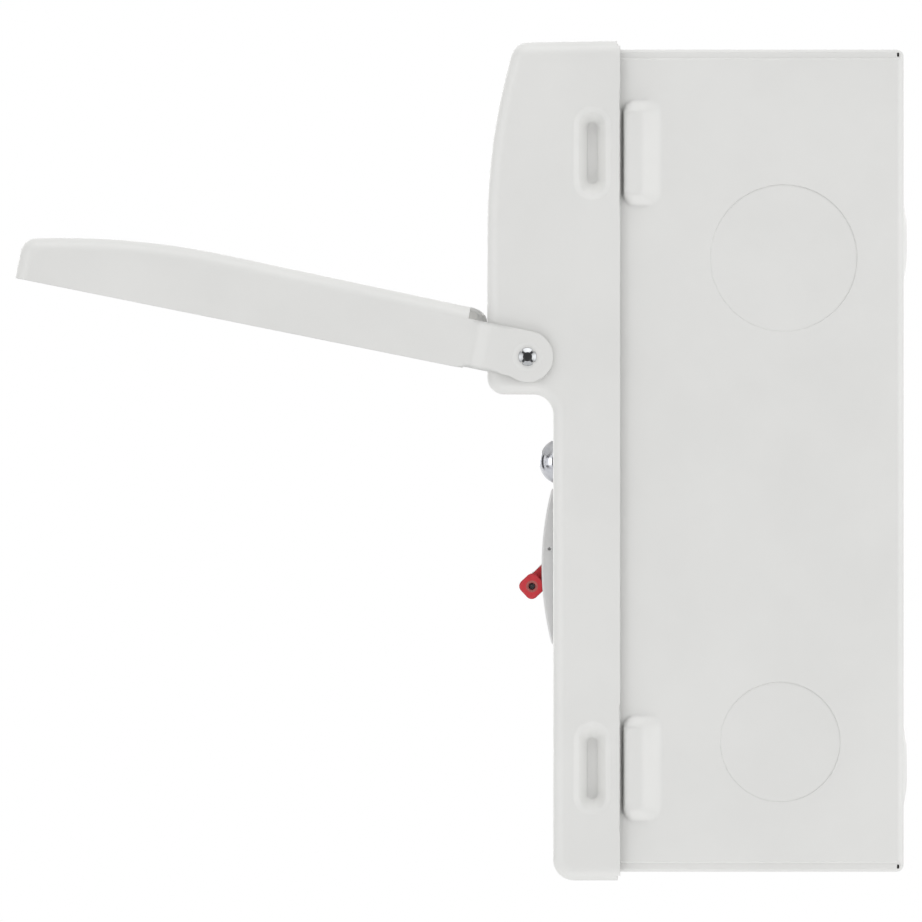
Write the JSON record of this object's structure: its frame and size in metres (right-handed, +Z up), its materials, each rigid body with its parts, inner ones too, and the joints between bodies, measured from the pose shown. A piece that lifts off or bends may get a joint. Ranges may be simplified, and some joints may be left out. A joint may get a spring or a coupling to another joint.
{
  "type": "consumer unit",
  "caption": "Steel domestic consumer unit: folded back box, drawn cover with projecting top, hinged lid shown open, main switch and breakers on a top-hat rail.",
  "frame": {"origin": "on the wall plane, in the middle of the four wall fixings", "axes": "+X to the right seen from the front, +Y into the wall, +Z up"},
  "size_m": [0.2236, 0.2549, 0.24],
  "materials": {
    "casing_paint": "fine powder coat, off-white, satin",
    "zinc_plate": "bright zinc plate",
    "rail_steel": "zinc-plated strip",
    "device_plastic": "moulded, light grey, matt",
    "switch_red": "moulded, red, semi-gloss",
    "toggle_dark": "moulded, near-black, semi-gloss",
    "clip_plastic": "moulded, mid grey",
    "brass": "drawn, bright",
    "copper": "copper strip, bright",
    "shroud_grey": "extruded, dark grey",
    "neutral_blue": "moulded or extruded, blue"
  },
  "bodies": {
    "enclosure": {"back_box": "casing_paint", "front_cover": "casing_paint", "hinge_rivets": "zinc_plate", "cover_screws": "zinc_plate", "cover_brackets": "casing_paint", "din_rail": "rail_steel", "rail_brackets": "rail_steel", "rail_screws": "zinc_plate", "main_switch_case": "device_plastic", "main_switch_terminals": "zinc_plate", "main_switch_screws": "zinc_plate", "breaker_terminals": "zinc_plate", "breaker_screws": "zinc_plate", "busbar": "copper", "busbar_shroud": "shroud_grey", "neutral_bar": "brass", "neutral_bar_screws": "zinc_plate", "neutral_bar_posts": "neutral_blue", "earth_bar": "brass", "earth_bar_screws": "zinc_plate", "earth_bar_posts": "zinc_plate", "neutral_link": "neutral_blue", "neutral_link_cores": "copper", "breaker_1_case": "device_plastic", "breaker_2_case": "device_plastic", "breaker_3_case": "device_plastic", "breaker_4_case": "device_plastic", "breaker_5_case": "device_plastic", "breaker_6_case": "device_plastic"},
    "lid": {"lid": "casing_paint"},
    "main_switch_toggle": {"main_switch_toggle": "switch_red"},
    "main_switch_clip": {"main_switch_clip": "clip_plastic"},
    "breaker_1_toggle": {"breaker_1_toggle": "toggle_dark"},
    "breaker_1_clip": {"breaker_1_clip": "clip_plastic"},
    "breaker_2_toggle": {"breaker_2_toggle": "toggle_dark"},
    "breaker_2_clip": {"breaker_2_clip": "clip_plastic"},
    "breaker_3_toggle": {"breaker_3_toggle": "toggle_dark"},
    "breaker_3_clip": {"breaker_3_clip": "clip_plastic"},
    "breaker_4_toggle": {"breaker_4_toggle": "toggle_dark"},
    "breaker_4_clip": {"breaker_4_clip": "clip_plastic"},
    "breaker_5_toggle": {"breaker_5_toggle": "toggle_dark"},
    "breaker_5_clip": {"breaker_5_clip": "clip_plastic"},
    "breaker_6_toggle": {"breaker_6_toggle": "toggle_dark"},
    "breaker_6_clip": {"breaker_6_clip": "clip_plastic"}
  },
  "joints": [
    {"name": "lid_hinge", "type": "hinge", "parent": "enclosure", "child": "lid", "pos_m": [0, -0.1085, 0.0422], "axis": [1, 0, 0], "range_deg": [0, 101.4]},
    {"name": "main_switch_throw", "type": "hinge", "parent": "enclosure", "child": "main_switch_toggle", "pos_m": [0.0525, -0.0959, -0.0129], "axis": [-1, 0, 0], "range_deg": [0, 86]},
    {"name": "main_switch_release", "type": "slide", "parent": "enclosure", "child": "main_switch_clip", "axis": [0, 0, -1], "range_m": [0, 0.003], "stiffness_N_per_m": 300, "springref_m": -0.004},
    {"name": "breaker_1_throw", "type": "hinge", "parent": "enclosure", "child": "breaker_1_toggle", "pos_m": [-0.06125, -0.0959, -0.0129], "axis": [-1, 0, 0], "range_deg": [0, 86]},
    {"name": "breaker_1_release", "type": "slide", "parent": "enclosure", "child": "breaker_1_clip", "axis": [0, 0, -1], "range_m": [0, 0.003], "stiffness_N_per_m": 300, "springref_m": -0.004},
    {"name": "breaker_2_throw", "type": "hinge", "parent": "enclosure", "child": "breaker_2_toggle", "pos_m": [-0.04375, -0.0959, -0.0129], "axis": [-1, 0, 0], "range_deg": [0, 86]},
    {"name": "breaker_2_release", "type": "slide", "parent": "enclosure", "child": "breaker_2_clip", "axis": [0, 0, -1], "range_m": [0, 0.003], "stiffness_N_per_m": 300, "springref_m": -0.004},
    {"name": "breaker_3_throw", "type": "hinge", "parent": "enclosure", "child": "breaker_3_toggle", "pos_m": [-0.02625, -0.0959, -0.0129], "axis": [-1, 0, 0], "range_deg": [0, 86]},
    {"name": "breaker_3_release", "type": "slide", "parent": "enclosure", "child": "breaker_3_clip", "axis": [0, 0, -1], "range_m": [0, 0.003], "stiffness_N_per_m": 300, "springref_m": -0.004},
    {"name": "breaker_4_throw", "type": "hinge", "parent": "enclosure", "child": "breaker_4_toggle", "pos_m": [-0.00875, -0.0959, -0.0129], "axis": [-1, 0, 0], "range_deg": [0, 86]},
    {"name": "breaker_4_release", "type": "slide", "parent": "enclosure", "child": "breaker_4_clip", "axis": [0, 0, -1], "range_m": [0, 0.003], "stiffness_N_per_m": 300, "springref_m": -0.004},
    {"name": "breaker_5_throw", "type": "hinge", "parent": "enclosure", "child": "breaker_5_toggle", "pos_m": [0.00875, -0.0959, -0.0129], "axis": [-1, 0, 0], "range_deg": [0, 86]},
    {"name": "breaker_5_release", "type": "slide", "parent": "enclosure", "child": "breaker_5_clip", "axis": [0, 0, -1], "range_m": [0, 0.003], "stiffness_N_per_m": 300, "springref_m": -0.004},
    {"name": "breaker_6_throw", "type": "hinge", "parent": "enclosure", "child": "breaker_6_toggle", "pos_m": [0.02625, -0.0959, -0.0129], "axis": [-1, 0, 0], "range_deg": [0, 86]},
    {"name": "breaker_6_release", "type": "slide", "parent": "enclosure", "child": "breaker_6_clip", "axis": [0, 0, -1], "range_m": [0, 0.003], "stiffness_N_per_m": 300, "springref_m": -0.004}
  ]
}
